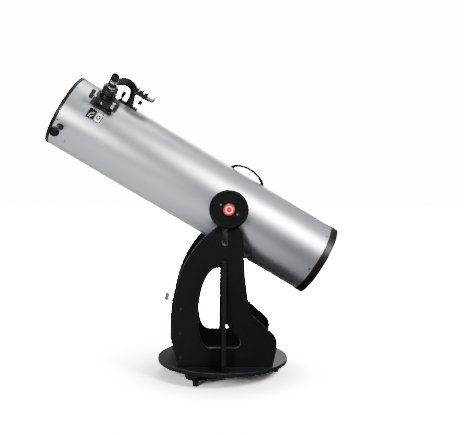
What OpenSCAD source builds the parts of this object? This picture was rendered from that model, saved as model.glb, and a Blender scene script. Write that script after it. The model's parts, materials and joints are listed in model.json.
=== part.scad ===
// Solid-tube Newtonian telescope on a rocker-box (Dobsonian) mount.
// Origin: azimuth axis at the floor. +Z up, the tube's mouth points to -X, the near side is -Y.

/* [Tube] */
// Outside diameter of the main tube
tube_od = 355; // [340:1:358]
// Wall thickness of the main tube
tube_wall = 1; // [0.8:0.1:1.5]
// Distance from the altitude axis to the mouth
mouth_reach = 913; // [895:1:940]
// Distance from the altitude axis to the rear end
rear_reach = 527; // [515:1:535]
// Altitude of the tube above the horizon in the rest pose
tube_tilt = 30.3; // [0:0.1:88]

/* [Optics] */
// Radius of the primary mirror
primary_r = 152.4; // [140:0.1:153]
// Thickness of the primary mirror
primary_t = 32; // [28:1:36]
// Minor radius of the elliptical secondary mirror
secondary_r = 35; // [28:1:38]

/* [Focuser] */
// Distance from the altitude axis to the focuser, along the tube
focuser_x = 745; // [740:1:752]
// Angle of the focuser round the tube, up from the near side
focuser_angle = 45; // [40:1:50]
// Outer radius of the sliding drawtube
drawtube_r = 27.5; // [27:0.1:28]

/* [Base] */
// Height of the altitude axis above the floor
axis_h = 828; // [825:1:835]
// Distance of the altitude axis behind the azimuth axis
axis_x = 15; // [12:1:17]
// Thickness of the boards
board_t = 19; // [18:0.5:19.5]
// Distance between the inner faces of the side panels
inner_gap = 380; // [378:1:390]
// Radius of the round top board
top_board_r = 322; // [318:1:330]
// Height of the feet
foot_h = 38; // [34:1:42]
// Distance of each foot from the azimuth axis
foot_reach = 268; // [262:1:272]

/* [Hidden] */
$fn = 96;

tube_r = tube_od / 2;
tube_inner_r = tube_r - tube_wall;
// Gap between two pieces that are fastened together, and between sliding faces
seat = 0.1;
running = 0.05;
face_gap = 0.4;

// Board stack of the base
ground_z = foot_h;
bearing_gap = 9;
top_z = ground_z + board_t + bearing_gap;
floor_z = top_z + board_t;
panel_y = inner_gap / 2;
panel_out = panel_y + board_t;
foot_angles = [0, 120, 240];
foot_r = 12;

// Azimuth pivot
bolt_r = 5;
bush_r = 9;
bush_flange_r = 20;
bush_flange_t = 3;

// Side panel outline, as x and z
panel_front_low = [-219, floor_z];
panel_front_knee = [-254, 228];
panel_curve_start = [-254, 300];
panel_curve_end = [-98, 697];
panel_crown_front = [-31, 752];
panel_crown_back = [50, 748];
panel_waist = [124, 338];
panel_back_low = [229, floor_z];
rib_x = -14;
rib_top = 590;
rib_depth_top = 12;
rib_depth_low = 92;
slot_w = 23;
slot_x = -3.5;
slot_low = 659;
front_board_x = -215;
front_board_top = 402;
panel_screw_z = [129, 243.5, 358];
panel_screw_len = 60;

// Eyepiece rack on the front board
rack_z = 382;
rack_t = 2.5;
rack_out = 74;
rack_len = 270;
rack_lip = 30;
rack_corner = 58;
rack_hole_y = [-92, -34, 24];
rack_big_y = 92;
rack_hole_x = front_board_x - rack_out / 2 - 2;
rack_screw_y = [-100, 0, 100];
small_hole_r = 16.4;
big_hole_r = 25.9;

// Altitude bearings
hub_r = 50;
liner_t = 3;
notch_r = hub_r + face_gap + liner_t + seat;
disc_r = 92;
disc_t = 26;
cap_r = 27;
bearing_screw_reach = 44;

// Rings at the tube's ends
front_ring_w = 18;
rear_ring_w = 40;
front_sleeve = 38;
rear_sleeve = 62;
sleeve_t = 3;
sleeve_r = tube_inner_r - seat - sleeve_t;
ring_face = 3.9;
rear_lip = 8;
front_screw_x = mouth_reach - 26;
rear_screw_x = -rear_reach + 52;
ring_screw_angles = [for (i = [0:5]) -16 + 60 * i];
ring_screw_r = 2;
ring_screw_len = tube_wall + seat + sleeve_t - 0.3;

// Mirror cell, measured from the rear end
cell_x = -rear_reach + 18;
cell_t = 9;
plate_x = -rear_reach + 43;
plate_t = 10;
plate_r = 150;
mirror_x = plate_x + plate_t + seat;
mirror_hollow = 3.1;
knob_ring_r = 125;
knob_angles = [90, 210, 330];
lock_angles = [30, 150, 270];
collimation_r = 3;
clip_angles = [0, 120, 240];

// Spider
spider_x = 808;
spider_w = 26;
vane_t = 1.5;
spider_angles = [for (i = [0:3]) -44 + 90 * i];
spider_hub_r = 17;
holder_top = spider_x - 13;
mirror_slab = 160;
secondary_t = 10;

// Focuser stack, as heights from the tube's axis
base_w = 112;
base_d = 94;
base_top = 192;
body_top = 240;
collar_top = 250;
collar_r = 35;
flange_low = 262;
flange_top = 285;
flange_r = 36;
shaft_y = 32;
shaft_z = 222;
shaft_r = 4;
coarse_r = 23.5;
coarse_w = 15;
knob_in = 55;
fine_in = 40.3;
lock_x = 3;
adapter_top = 303;
drawtube_screw_angle = 160;
adapter_screw_angle = 25;
adapter_r = 22;
barrel_r = 15.875;
eyepiece_top = 352;
eyecup_top = 364;

// Phone dock, as heights from the tube's axis
dock_angle = 80;
dock_x = 611;
dock_len = 100;
dock_top = 185;
tray_x = 562;
tray_len = 106;
tray_w = 84;
tray_z = 249;
tray_t = 9;
arch_c = [706, 219];
arch_r = 52;
arch_w = 37;
finger_x = [606, 632, 655];
tray_cut_x = 642;
lever_x = dock_x + dock_len - 9;
lever_z = dock_top - 4;
tray_knob_x = tray_x + tray_len / 2 - 2;
tray_knob_y = 24;

// Label, handle and guide knob on the tube
label_x = 712;
label_w = 75;
label_h = 52;
label_angle = 17.7;
handle_front = 90;
handle_back = -104;
handle_w = 24;
handle_hole_x = [79, -93];
guide_x = 861;
guide_angle = -24;

// Points of a cubic curve after its first point
function curve(p0, c0, c1, p1, n) = [for (i = [1:n])
  let (t = i / n, s = 1 - t) s * s * s * p0 + 3 * s * s * t * c0 + 3 * s * t * t * c1 + t * t * t * p1];

panel_outline = concat(
  [panel_front_low, panel_front_knee + [1.5, -8]],
  curve(panel_front_knee + [1.5, -8], panel_front_knee, panel_front_knee, panel_front_knee + [0, 14], 4),
  [panel_curve_start],
  curve(panel_curve_start, [-254, 470], [-185, 610], panel_curve_end, 22),
  curve(panel_curve_end, [-78, 717], [-56, 734], panel_crown_front, 5),
  [[axis_x - 67, axis_h - 38], [axis_x - 70, axis_h], [axis_x + 70, axis_h], [axis_x + 67, axis_h - 38]],
  [panel_crown_back],
  curve(panel_crown_back, [68, 740], [82, 726], [82, 700], 6),
  curve([82, 700], [90, 580], [98, 450], panel_waist, 14),
  curve(panel_waist, [126, 332], [128, 330], [134, 325], 3),
  curve([221, 250], [240, 234], [250, 218], [250, 198], 6),
  curve([250, 198], [250, 188], [248, 178], [246, 168], 3),
  [panel_back_low]);

opening_outline = concat(
  [[-35, 553]],
  curve([-35, 553], [-22, 554], [-6, 550], [2, 541], 5),
  [[2, 304]],
  curve([2, 304], [5, 285], [18, 272], [34, 257], 6),
  curve([60, 235], [82, 214], [82, 175], [46, 175], 9),
  [[-64, 175]],
  curve([-64, 175], [-106, 175], [-122, 236], [-122, 316], 14),
  curve([-122, 316], [-122, 444], [-84, 548], [-35, 553], 16));

handle_outer = curve([handle_front, 178], [55, 232], [-60, 232], [handle_back, 178], 20);
handle_inner = curve([handle_back + 22, 178], [-50, 215], [45, 215], [handle_front - 22, 178], 20);

// Places its children in the tube's own frame: x to the mouth, y to the near side, z up
module in_tube() {
  translate([axis_x, 0, axis_h]) rotate([0, tube_tilt, 0]) rotate([0, 0, 180]) children();
}

// Turns its children so that z points out of the tube at an angle up from the near side
module radial(angle) {
  rotate([angle - 90, 0, 0]) children();
}

// A cylinder along the tube's axis
module along(r, x0, x1) {
  translate([x0, 0, 0]) rotate([0, 90, 0]) cylinder(r = r, h = x1 - x0);
}

// A board standing along x and z, from y0 outward
module upright(y0, t) {
  translate([0, y0 + t, 0]) rotate([90, 0, 0]) linear_extrude(t) children();
}

// The same children on the far side, or mirrored to the near side
module on_side(near) {
  mirror([0, near ? 1 : 0, 0]) children();
}

// A plate with rounded corners, centred on x and y
module rounded_plate(w, d, h, r) {
  linear_extrude(h) {
    square([w - 2 * r, d], center = true);
    square([w, d - 2 * r], center = true);
    for (sx = [-1, 1], sy = [-1, 1]) {
      translate([sx * (w / 2 - r), sy * (d / 2 - r)]) circle(r = r);
    }
  }
}

// A knob with grip flutes round its edge, standing on z = 0
module fluted_knob(r, h, flutes, flute_r) {
  difference() {
    rotate_extrude() polygon([[0, 0], [r - 1.2, 0], [r, 1.2], [r, h - 1.5], [r - 1.5, h], [0, h]]);
    for (i = [0:flutes - 1]) {
      rotate([0, 0, i * 360 / flutes]) translate([r + flute_r * 0.55, 0, -1]) {
        cylinder(r = flute_r, h = h + 2, $fn = 24);
      }
    }
  }
}

// A hole for a screw of radius r, from z = 4 down to the given depth
module screw_hole(r, depth = 8) {
  translate([0, 0, -depth]) cylinder(r = r + seat, h = depth + 4, $fn = 24);
}

// A round-headed screw: head on z = 0, shank below it
module screw(head_r, head_h, shank_r, length) {
  rotate_extrude($fn = 32) {
    polygon([[0, -length], [shank_r, -length], [shank_r, 0], [head_r, 0], [head_r, head_h * 0.4],
      [head_r * 0.7, head_h], [0, head_h]]);
  }
}

// ---- Ground board and azimuth pivot ----

module foot_places() {
  for (a = foot_angles) {
    rotate([0, 0, a]) translate([foot_reach, 0, 0]) children();
  }
}

module ground_board() {
  color("#26272a") translate([0, 0, ground_z]) difference() {
    linear_extrude(board_t) {
      for (a = foot_angles) {
        rotate([0, 0, a]) translate([foot_reach - 8, 0]) circle(r = 52);
        rotate([0, 0, a + 60]) translate([0, -225]) square([182, 450]);
      }
    }
    translate([0, 0, -1]) cylinder(r = bolt_r + seat, h = board_t + 2);
    foot_places() translate([0, 0, -1]) cylinder(r = 2.6, h = board_t + 2, $fn = 24);
  }
}

module feet() {
  color("#1a1b1d") foot_places() difference() {
    rotate_extrude($fn = 48) {
      polygon([[0, 0], [foot_r, 0], [foot_r, 8], [foot_r + 2, 10], [15, foot_h - 5], [18, foot_h - 4],
        [18, foot_h], [0, foot_h]]);
    }
    translate([0, 0, foot_h - 20]) cylinder(r = 2.6, h = 21, $fn = 24);
  }
}

module foot_screws() {
  color("silver") foot_places() translate([0, 0, ground_z + board_t]) screw(5, 2, 2.5, board_t + 18);
}

module azimuth_pads() {
  color("white") for (a = foot_angles) {
    rotate([0, 0, a]) translate([foot_reach - 45, 0, ground_z + board_t]) {
      rounded_plate(40, 40, bearing_gap, 6);
    }
  }
}

module azimuth_bolt() {
  color("silver") {
    translate([0, 0, ground_z - 6]) cylinder(r = 9, h = 6, $fn = 6);
    translate([0, 0, ground_z - 6]) cylinder(r = bolt_r, h = 80);
  }
}

module azimuth_nut() {
  washer_z = floor_z + bush_flange_t + face_gap;
  color("silver") translate([0, 0, washer_z]) difference() {
    union() {
      cylinder(r = 13, h = 1.6);
      translate([0, 0, 1.6]) cylinder(r = 9.2, h = 9, $fn = 6);
    }
    translate([0, 0, -1]) cylinder(r = bolt_r + running, h = 14);
  }
}

// ---- Rocker: the part of the base that turns in azimuth ----

module top_board() {
  color("#2b3036") translate([0, 0, top_z]) difference() {
    rotate_extrude($fn = 180) polygon([[0, 0], [top_board_r - 1, 0], [top_board_r, 1],
      [top_board_r, board_t - 1], [top_board_r - 1, board_t], [0, board_t]]);
    translate([0, 0, -1]) cylinder(r = bush_r + seat, h = board_t + 2);
  }
}

module azimuth_bush() {
  color("ivory") difference() {
    union() {
      translate([0, 0, top_z]) cylinder(r = bush_r, h = board_t + 1);
      translate([0, 0, floor_z]) cylinder(r = bush_flange_r, h = bush_flange_t);
    }
    translate([0, 0, top_z - 1]) cylinder(r = bolt_r + running, h = board_t + 10);
  }
}

// Holes or screws through both the panel and the front board
module panel_screw_places() {
  for (z = panel_screw_z) {
    translate([front_board_x + board_t / 2, panel_out, z]) rotate([-90, 0, 0]) children();
  }
}

module side_panel() {
  difference() {
    upright(panel_y, board_t) difference() {
      polygon(panel_outline);
      polygon(opening_outline);
      translate([axis_x, axis_h]) circle(r = notch_r);
      translate([slot_x - slot_w / 2, slot_low + slot_w / 2]) square([slot_w, axis_h - slot_low - slot_w]);
      translate([slot_x, slot_low + slot_w / 2]) circle(r = slot_w / 2, $fn = 48);
    }
    panel_screw_places() screw_hole(3, board_t + 1);
  }
}

module side_panel_near() {
  color("#1e1f21") on_side(true) side_panel();
}

module side_panel_far() {
  color("#1e1f21") on_side(false) side_panel();
}

module panel_rib() {
  translate([rib_x, 0, 0]) rotate([90, 0, 90]) linear_extrude(board_t) {
    polygon(concat([[panel_out, floor_z], [panel_out, rib_top]],
      curve([panel_out, rib_top], [panel_out + 6, rib_top], [panel_out + rib_depth_top, rib_top - 2],
        [panel_out + rib_depth_top, rib_top - 16], 6),
      [[panel_out + rib_depth_low, floor_z + 26], [panel_out + rib_depth_low, floor_z]]));
  }
}

module panel_ribs() {
  color("#232427") {
    on_side(true) panel_rib();
    on_side(false) panel_rib();
  }
}

module front_board() {
  height = front_board_top - floor_z;
  color("#1e1f21") difference() {
    translate([front_board_x, -panel_y, floor_z]) cube([board_t, 2 * panel_y, height]);
    for (near = [true, false]) {
      on_side(near) panel_screw_places() screw_hole(3, panel_screw_len + 4);
    }
    rack_screw_places() mirror([0, 0, 1]) screw_hole(2, 13);
  }
}

// Screw places of the eyepiece rack, with z into the front board
module rack_screw_places() {
  for (y = rack_screw_y) {
    translate([front_board_x, y, rack_z - 16]) rotate([0, 90, 0]) children();
  }
}

module board_screws() {
  color("#55575a") {
    for (near = [true, false]) {
      on_side(near) panel_screw_places() screw(6, 1.2, 3, panel_screw_len);
    }
    rack_screw_places() mirror([0, 0, 1]) translate([0, 0, rack_t]) screw(4, 2.4, 2, 14);
  }
}

module eyepiece_rack() {
  color("#9a9c9e") difference() {
    union() {
      translate([front_board_x - rack_t, -rack_len / 2, rack_z - rack_lip]) {
        cube([rack_t, rack_len, rack_lip + rack_t]);
      }
      translate([front_board_x - rack_out, 0, rack_z]) linear_extrude(rack_t) {
        translate([rack_corner, -rack_len / 2]) square([rack_out - rack_corner, rack_len]);
        translate([0, rack_corner - rack_len / 2]) square([rack_out, rack_len - 2 * rack_corner]);
        intersection() {
          translate([0, -rack_len / 2]) square([rack_out, rack_len]);
          for (sy = [-1, 1]) {
            translate([rack_corner, sy * (rack_len / 2 - rack_corner)]) circle(r = rack_corner);
          }
        }
      }
    }
    for (y = rack_hole_y) {
      translate([rack_hole_x, y, rack_z - 1]) cylinder(r = small_hole_r, h = rack_t + 2);
    }
    translate([rack_hole_x, rack_big_y, rack_z - 1]) cylinder(r = big_hole_r, h = rack_t + 2);
    rack_screw_places() screw_hole(2);
  }
}

module cradle_liner() {
  upright(panel_y, board_t) difference() {
    translate([axis_x, axis_h]) circle(r = notch_r - seat);
    translate([axis_x, axis_h]) circle(r = hub_r + face_gap);
    translate([axis_x - 100, axis_h]) square([200, 100]);
  }
}

module cradle_liners() {
  color("#d8d8d4") {
    on_side(true) cradle_liner();
    on_side(false) cradle_liner();
  }
}

// ---- Tube assembly ----

// Screws or holes that join a ring's sleeve to the tube
module ring_screw_places(x) {
  for (a = ring_screw_angles) {
    radial(a) translate([x, 0, tube_r]) children();
  }
}

module tube() {
  front = mouth_reach - 4;
  rear = -rear_reach + 4;
  color("#c3c5c8") in_tube() difference() {
    along(tube_r, rear, front);
    along(tube_inner_r, rear - 1, front + 1);
    radial(focuser_angle) translate([focuser_x, 0, tube_r - 40]) cylinder(r = drawtube_r + 2, h = 60);
    ring_screw_places(front_screw_x) screw_hole(ring_screw_r);
    ring_screw_places(rear_screw_x) screw_hole(ring_screw_r);
    bearing_screw_places() screw_hole(3, 80);
    handle_screw_places() screw_hole(2.5);
    spider_places() translate([0, 0, tube_r]) screw_hole(2);
    focuser_screw_places() translate([0, 0, tube_r]) screw_hole(2, 16);
    radial(guide_angle) translate([guide_x, 0, tube_r]) screw_hole(3);
    dock_screw_places() translate([0, 0, tube_r]) screw_hole(2);
  }
}

module front_ring() {
  color("#1b1c1e") in_tube() difference() {
    translate([mouth_reach, 0, 0]) rotate([0, -90, 0]) rotate_extrude($fn = 128) polygon([
      [sleeve_r, 0], [tube_r + 0.6, 0], [tube_r + 1.8, 1.2], [tube_r + 1.8, front_ring_w - 1],
      [tube_r + 0.9, front_ring_w], [tube_r + seat, front_ring_w], [tube_r + seat, ring_face],
      [tube_inner_r - seat, ring_face], [tube_inner_r - seat, front_sleeve], [sleeve_r, front_sleeve]]);
    ring_screw_places(front_screw_x) screw_hole(ring_screw_r);
  }
}

module rear_ring() {
  color("#1b1c1e") in_tube() difference() {
    translate([-rear_reach, 0, 0]) rotate([0, 90, 0]) rotate_extrude($fn = 128) polygon([
      [tube_r - rear_lip, 0], [tube_r + 1.6, 0], [tube_r + 3, 1.5], [tube_r + 3, rear_ring_w - 1.5],
      [tube_r + 1.8, rear_ring_w], [tube_r + seat, rear_ring_w], [tube_r + seat, ring_face],
      [tube_inner_r - seat, ring_face], [tube_inner_r - seat, rear_sleeve], [sleeve_r, rear_sleeve],
      [sleeve_r, 5], [tube_r - rear_lip, 3]]);
    ring_screw_places(rear_screw_x) screw_hole(ring_screw_r);
  }
}

module ring_screws() {
  color("#8a8c8e") in_tube() {
    ring_screw_places(front_screw_x) screw(4.5, 2.2, ring_screw_r, ring_screw_len);
    ring_screw_places(rear_screw_x) screw(4.5, 2.2, ring_screw_r, ring_screw_len);
  }
}

// Screw places of both altitude bearings, on the disc's face, with z outward
module bearing_screw_places() {
  for (side = [0, 180], dx = [-bearing_screw_reach, bearing_screw_reach]) {
    radial(side) translate([dx, 0, panel_out + disc_t]) children();
  }
}

module altitude_bearing(side) {
  hub_low = tube_r - 9.5;
  disc_low = panel_out + face_gap;
  face = panel_out + disc_t;
  in_tube() difference() {
    radial(side) rotate_extrude($fn = 128) polygon([
      [0, hub_low], [hub_r, hub_low], [hub_r, disc_low], [disc_r - 3, disc_low], [disc_r, disc_low + 3],
      [disc_r, face - 9], [disc_r - 2, face - 6], [disc_r - 9, face], [disc_r - 13, face - 0.5],
      [disc_r - 15, face - 2.5], [cap_r + 6, face - 2.5], [cap_r + 4, face - 0.5],
      [cap_r + 1, face - 0.5], [cap_r + seat, face - 3.5], [0, face - 3.5]]);
    along(tube_r + seat, -80, 80);
    bearing_screw_places() screw_hole(3, 80);
  }
}

module altitude_bearing_near() {
  color("#1c1d1f") altitude_bearing(0);
}

module altitude_bearing_far() {
  color("#1c1d1f") altitude_bearing(180);
}

module bearing_caps() {
  face = panel_out + disc_t;
  color("#d9481f") in_tube() for (side = [0, 180]) {
    radial(side) rotate_extrude($fn = 96) polygon([[0, face - 3.5], [cap_r, face - 3.5], [cap_r, face - 0.5],
      [cap_r - 2, face + 0.8], [cap_r * 0.6, face + 1.8], [0, face + 2.2]]);
  }
}

module bearing_screws() {
  color("silver") in_tube() bearing_screw_places() {
    translate([0, 0, -2.5]) screw(4.4, 2, 3, 68);
    nut_z = tube_inner_r - panel_out - disc_t - 6;
    translate([0, 0, nut_z]) cylinder(r = 5.6, h = 5, $fn = 6);
  }
}

// Screw places of the handle, on the tube's surface, with z outward
module handle_screw_places() {
  for (x = handle_hole_x) {
    translate([x, 0, tube_r]) children();
  }
}

module tube_handle() {
  color("#1d1e20") in_tube() difference() {
    translate([0, handle_w / 2, 0]) rotate([90, 0, 0]) linear_extrude(handle_w) {
      polygon(concat([[handle_front, 170], [handle_front, 178]], handle_outer,
        [[handle_back, 170], [handle_back + 22, 170], [handle_back + 22, 178]], handle_inner,
        [[handle_front - 22, 170]]));
    }
    along(tube_r + seat, handle_back - 5, handle_front + 5);
    handle_screw_places() translate([0, 0, 6]) screw_hole(2.5, 12);
  }
}

module handle_screws() {
  color("silver") in_tube() handle_screw_places() mirror([0, 0, 1]) translate([0, 0, tube_wall + 0.2]) {
    screw(4.8, 2.6, 2.5, 10);
  }
}

module guide_knob() {
  color("#1a1b1d") in_tube() radial(guide_angle) translate([guide_x, 0, 0]) {
    translate([0, 0, tube_r - 6]) cylinder(r = 3, h = 10);
    rotate_extrude() polygon([[0, tube_r + seat], [17, tube_r + seat], [17, tube_r + 3], [13, tube_r + 6],
      [11, tube_r + 30], [12, tube_r + 48], [18, tube_r + 56], [22, tube_r + 60], [23, tube_r + 64],
      [23, tube_r + 74], [21, tube_r + 80], [16, tube_r + 84], [8, tube_r + 86], [0, tube_r + 86.5]]);
    translate([0, 0, tube_r - 11]) cylinder(r = 6, h = 5, $fn = 6);
  }
}

// ---- Primary mirror and its cell ----

module mirror_cell() {
  color("#3c3e40") in_tube() difference() {
    union() {
      intersection() {
        for (a = knob_angles) {
          radial(a) translate([cell_x, -19, 0]) cube([cell_t, 38, 200]);
        }
        along(sleeve_r - seat, cell_x - 1, cell_x + cell_t + 1);
      }
      along(70, cell_x, cell_x + cell_t);
      difference() {
        along(knob_ring_r + 13, cell_x, cell_x + cell_t);
        along(knob_ring_r - 13, cell_x - 1, cell_x + cell_t + 1);
      }
    }
    along(42, cell_x - 1, cell_x + cell_t + 1);
    for (a = knob_angles) {
      radial(a) translate([0, 0, knob_ring_r]) {
        along(collimation_r + running, cell_x - 1, cell_x + cell_t + 1);
      }
    }
    for (a = lock_angles) {
      radial(a) translate([0, 0, knob_ring_r]) along(2.5 + seat, cell_x - 1, cell_x + cell_t + 1);
    }
  }
}

module mirror_plate() {
  color("#4a4c4e") in_tube() difference() {
    along(plate_r, plate_x, plate_x + plate_t);
    along(45, plate_x - 1, plate_x + plate_t + 1);
    for (a = lock_angles) {
      radial(a) translate([0, 0, 88]) along(20, plate_x - 1, plate_x + plate_t + 1);
    }
    for (a = knob_angles) {
      radial(a) translate([0, 0, knob_ring_r]) along(collimation_r + running, plate_x - 1, plate_x + 9);
    }
    for (a = clip_angles) {
      radial(a) translate([plate_x + 5, 0, plate_r - 12]) cylinder(r = 2.1, h = 20, $fn = 24);
    }
  }
}

module primary_mirror() {
  color("#cfd8dc") in_tube() translate([mirror_x, 0, 0]) rotate([0, 90, 0]) rotate_extrude($fn = 128) {
    polygon(concat([[0, 0], [primary_r - 1, 0], [primary_r, 1], [primary_r, primary_t - 1]],
      [for (i = [4:-1:0]) let (r = (primary_r - 1) * i / 4)
        [r, primary_t - mirror_hollow * (1 - pow(i / 4, 2))]]));
  }
}

module mirror_clips() {
  rim = primary_r + 1.5;
  color("#1a1b1d") in_tube() for (a = clip_angles) {
    radial(a) {
      difference() {
        translate([plate_x, -10, plate_r + seat]) cube([plate_t + primary_t + 6, 20, 6]);
        along(rim, mirror_x - 0.2, mirror_x + primary_t + 1);
        translate([plate_x + 5, 0, plate_r - 1]) cylinder(r = 2.1, h = 20, $fn = 24);
      }
      translate([mirror_x + primary_t + 0.5, -10, primary_r - 8]) cube([4, 20, plate_r - primary_r + 12]);
      translate([plate_x + 5, 0, plate_r + 6 + seat]) screw(4, 2.4, 2, 16);
    }
  }
}

module collimation_springs() {
  gap = plate_x - cell_x - cell_t;
  color("silver") in_tube() for (a = knob_angles) {
    radial(a) translate([0, 0, knob_ring_r]) difference() {
      along(8, cell_x + cell_t, cell_x + cell_t + gap);
      along(5.5, cell_x + cell_t - 1, cell_x + cell_t + gap + 1);
    }
  }
}

module collimation_knob(i) {
  knob_h = 13;
  color("#202124") in_tube() radial(knob_angles[i]) translate([cell_x - 0.3, 0, knob_ring_r]) {
    rotate([0, -90, 0]) fluted_knob(14, knob_h, 8, 4);
    along(collimation_r, -1, plate_x - cell_x + 8);
  }
}

module collimation_knob_1() {
  collimation_knob(0);
}

module collimation_knob_2() {
  collimation_knob(1);
}

module collimation_knob_3() {
  collimation_knob(2);
}

module lock_bolts() {
  color("#9a9c9e") in_tube() for (a = lock_angles) {
    radial(a) translate([cell_x, 0, knob_ring_r]) rotate([0, -90, 0]) {
      screw(5.5, 5, 2.5, plate_x - cell_x);
    }
  }
}

// ---- Spider and secondary mirror ----

// Places round the tube where a spider vane is bolted, with z outward
module spider_places() {
  for (a = spider_angles) {
    radial(a) translate([spider_x + spider_w / 2, 0, 0]) children();
  }
}

module spider() {
  tab_top = tube_inner_r - 0.3;
  color("#1a1b1d") in_tube() difference() {
    union() {
      along(spider_hub_r, spider_x, spider_x + spider_w + 6);
      spider_places() {
        translate([-spider_w / 2, -vane_t / 2, 10]) cube([spider_w, vane_t, tab_top - 14]);
        translate([-10, -4, tab_top - 12]) cube([20, 8, 11.2]);
      }
    }
    along(3.1, spider_x - 1, spider_x + spider_w + 8);
    for (a = [0, 120, 240]) {
      radial(a) translate([0, 0, 11]) along(2.1, spider_x - 1, spider_x + spider_w + 8);
    }
    spider_places() translate([0, 0, tab_top]) screw_hole(2, 11);
  }
}

module spider_nuts() {
  color("#6e7072") in_tube() spider_places() {
    translate([0, 0, tube_r - 11.5]) cylinder(r = 2, h = 14, $fn = 24);
    translate([0, 0, tube_r + seat]) fluted_knob(7, 5, 10, 1.6);
  }
}

// A slab at 45 degrees to the tube's axis, facing the focuser
module diagonal_slab(low, thick) {
  rotate([0, -45, 0]) translate([-mirror_slab / 2, -mirror_slab / 2, low]) {
    cube([mirror_slab, mirror_slab, thick]);
  }
}

module secondary_holder() {
  top = holder_top - focuser_x;
  color("#1a1b1d") in_tube() radial(focuser_angle) translate([focuser_x, 0, 0]) difference() {
    along(secondary_r - 2, -40, top);
    diagonal_slab(-secondary_t - seat, 200);
    along(3.1, top - 14, top + 1);
  }
}

module secondary_mirror() {
  color("#d7e0e4") in_tube() radial(focuser_angle) translate([focuser_x, 0, 0]) intersection() {
    along(secondary_r, -70, 70);
    diagonal_slab(-secondary_t, secondary_t);
  }
}

module secondary_screws() {
  end = spider_x + spider_w + 6;
  color("silver") in_tube() {
    along(3, holder_top - 13, end);
    along(6, end, end + 5);
    for (a = [0, 120, 240]) {
      radial(a) translate([0, 0, 11]) {
        along(2, holder_top, end);
        along(3.6, end, end + 4);
      }
    }
  }
}

// ---- Focuser ----

// Places its children in the focuser's frame: z along the drawtube, x along the tube
module in_focuser() {
  in_tube() radial(focuser_angle) translate([focuser_x, 0, 0]) children();
}

// Screws at the corners of the focuser's base, from inside the tube outward
module focuser_screw_places() {
  screw_y = base_d / 2 - 9;
  for (sx = [-1, 1], sy = [-1, 1]) {
    radial(focuser_angle) translate([focuser_x + sx * (base_w / 2 - 9), sy * screw_y, 0]) children();
  }
}

module focuser_base() {
  color("#1d1e20") in_tube() difference() {
    radial(focuser_angle) translate([focuser_x, 0, 0]) {
      translate([0, 0, 160]) rounded_plate(base_w, base_d, base_top - 160, 10);
    }
    along(tube_r + seat, focuser_x - 100, focuser_x + 100);
    radial(focuser_angle) translate([focuser_x, 0, 150]) cylinder(r = drawtube_r + 1, h = 60);
    focuser_screw_places() translate([0, 0, 160]) cylinder(r = 2.1, h = base_top - 163, $fn = 24);
  }
}

module focuser_screws() {
  low = sqrt(tube_inner_r * tube_inner_r - (base_d / 2 - 4) * (base_d / 2 - 4)) - 0.4;
  color("silver") in_tube() focuser_screw_places() {
    translate([0, 0, low]) mirror([0, 0, 1]) screw(4, 2.4, 2, base_top - 4 - low);
  }
}

module focuser_body() {
  low = base_top + 0.05;
  color("#232427") in_focuser() difference() {
    union() {
      rotate_extrude() polygon([[0, low], [44, low], [44, low + 10], [40, low + 16],
        [collar_r + 2, low + 22], [collar_r + 2, body_top - 3], [collar_r, body_top],
        [collar_r, collar_top - 1.5], [collar_r - 1.5, collar_top], [0, collar_top]]);
      translate([0, 0, low]) rounded_plate(88, 78, 14, 14);
      translate([0, shaft_y - 2, low + 8]) rounded_plate(78, 34, shaft_z + 12 - low - 8, 7);
    }
    translate([0, 0, low - 1]) cylinder(r = drawtube_r + running, h = 80);
    translate([0, shaft_y, shaft_z]) along(shaft_r + running, -50, 50);
    translate([lock_x, shaft_y, shaft_z]) rotate([-90, 0, 0]) cylinder(r = 2.5 + running, h = 40, $fn = 32);
  }
}

module focus_shaft() {
  color("silver") in_focuser() translate([0, shaft_y, shaft_z]) {
    along(shaft_r, -knob_in - coarse_w + 3, knob_in + coarse_w - 3);
  }
}

// Turns its children so that z points out of the drawtube's side
module sideways(angle) {
  rotate([0, 0, angle]) rotate([0, 90, 0]) children();
}

// One coarse focusing knob, with its inner face at z = 0
module coarse_knob(bore) {
  difference() {
    fluted_knob(coarse_r, coarse_w, 22, 2.2);
    translate([0, 0, -1]) cylinder(r = shaft_r + seat, h = bore);
    translate([0, 0, coarse_w - 1.5]) difference() {
      cylinder(r = coarse_r - 4, h = 2);
      translate([0, 0, -1]) cylinder(r = 9, h = 4);
    }
  }
}

module coarse_knobs() {
  color("#27282b") in_focuser() translate([0, shaft_y, shaft_z]) {
    translate([knob_in, 0, 0]) rotate([0, 90, 0]) coarse_knob(coarse_w - 2);
    translate([-knob_in, 0, 0]) rotate([0, -90, 0]) coarse_knob(coarse_w - 2);
  }
}

module fine_knob() {
  color("#b8babc") in_focuser() translate([-fine_in, shaft_y, shaft_z]) rotate([0, -90, 0]) {
    difference() {
      fluted_knob(15, 14, 20, 1.8);
      translate([0, 0, -1]) cylinder(r = shaft_r + running, h = 17);
    }
  }
}

module focus_lock_screw() {
  color("silver") in_focuser() translate([lock_x, shaft_y + 15.4, shaft_z]) rotate([-90, 0, 0]) {
    translate([0, 0, -10.5]) cylinder(r = 2.5, h = 14, $fn = 32);
    translate([0, 0, 0.3]) fluted_knob(5.5, 9, 10, 1.2);
  }
}

module drawtube() {
  color("#2a2b2e") in_focuser() difference() {
    union() {
      translate([0, 0, 176]) cylinder(r = drawtube_r, h = flange_low - 170);
      rotate_extrude() polygon([[20, flange_low], [flange_r - 1.5, flange_low], [flange_r, flange_low + 1.5],
        [flange_r, flange_top - 2], [flange_r - 2, flange_top], [20, flange_top]]);
    }
    translate([0, 0, 170]) cylinder(r = 25.5, h = 130);
    translate([0, 0, flange_low + 12]) sideways(drawtube_screw_angle) {
      translate([0, 0, 20]) cylinder(r = 2 + running, h = 20, $fn = 32);
    }
  }
}

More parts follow.
